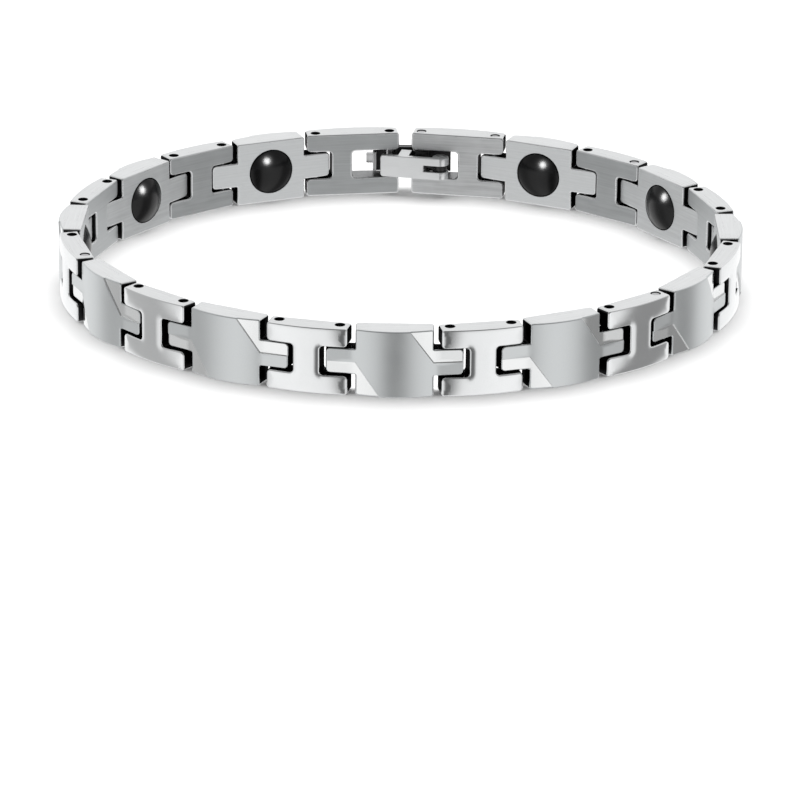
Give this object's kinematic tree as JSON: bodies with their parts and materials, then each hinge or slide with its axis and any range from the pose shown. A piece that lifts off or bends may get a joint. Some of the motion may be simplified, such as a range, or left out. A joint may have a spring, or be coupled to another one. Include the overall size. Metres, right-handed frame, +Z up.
{
  "type": "magnetic link bracelet",
  "caption": "Stainless steel link bracelet of stepped plates and H-shaped links on upright pins, with domed black magnets inside and a fold-over clasp.",
  "frame": {"origin": "centre of the band's footprint, on the surface that its lower edge stands on", "axes": "+Z up along the axis of the wrist, +Y from the front plate to the clasp, +X to the right as seen from the front"},
  "size_m": [0.0644, 0.0572, 0.0063],
  "materials": {
    "plate_steel": "stainless steel, satin outer face with polished steps, brushed back",
    "link_steel": "stainless steel, polished crowned outer face, brushed back and edges",
    "magnet": "glossy black domed magnet",
    "pin_steel": "drawn steel pin",
    "clasp_steel": "stainless steel, satin"
  },
  "bodies": {
    "bracelet": {"plate_front": "plate_steel", "plate_right_1": "plate_steel", "plate_right_2": "plate_steel", "plate_right_3": "plate_steel", "plate_right_4": "plate_steel", "plate_right_5": "plate_steel", "plate_left_1": "plate_steel", "plate_left_2": "plate_steel", "plate_left_3": "plate_steel", "plate_left_4": "plate_steel", "plate_left_5": "plate_steel", "link_right_1": "link_steel", "link_right_2": "link_steel", "link_right_3": "link_steel", "link_right_4": "link_steel", "link_right_5": "link_steel", "link_left_1": "link_steel", "link_left_2": "link_steel", "link_left_3": "link_steel", "link_left_4": "link_steel", "link_left_5": "link_steel", "clasp_link_right": "link_steel", "clasp_link_left": "link_steel", "magnet_front": "magnet", "magnet_right_1": "magnet", "magnet_right_2": "magnet", "magnet_right_3": "magnet", "magnet_right_4": "magnet", "magnet_right_5": "magnet", "magnet_left_1": "magnet", "magnet_left_2": "magnet", "magnet_left_3": "magnet", "magnet_left_4": "magnet", "magnet_left_5": "magnet", "pins_right_1": "pin_steel", "pins_right_2": "pin_steel", "pins_right_3": "pin_steel", "pins_right_4": "pin_steel", "pins_right_5": "pin_steel", "pins_left_1": "pin_steel", "pins_left_2": "pin_steel", "pins_left_3": "pin_steel", "pins_left_4": "pin_steel", "pins_left_5": "pin_steel", "pins_clasp_right": "pin_steel", "pins_clasp_left": "pin_steel"},
    "hook": {"clasp_hook": "clasp_steel"},
    "lever": {"clasp_lever": "clasp_steel", "clasp_hinge_pin": "pin_steel"}
  },
  "joints": [
    {"name": "hook_swing", "type": "hinge", "parent": "bracelet", "child": "hook", "pos_m": [0.00159, 0.02728, 0.00315], "axis": [0, 0, -1], "range_deg": [0, 48]},
    {"name": "lever_fold", "type": "hinge", "parent": "hook", "child": "lever", "pos_m": [0.00349, 0.02552, 0.00315], "axis": [0, 0, 1], "range_deg": [0, 120]}
  ],
  "couplings": [
    {"joint": "hook_swing", "follows": "lever_fold", "ratio": 0.4}
  ]
}
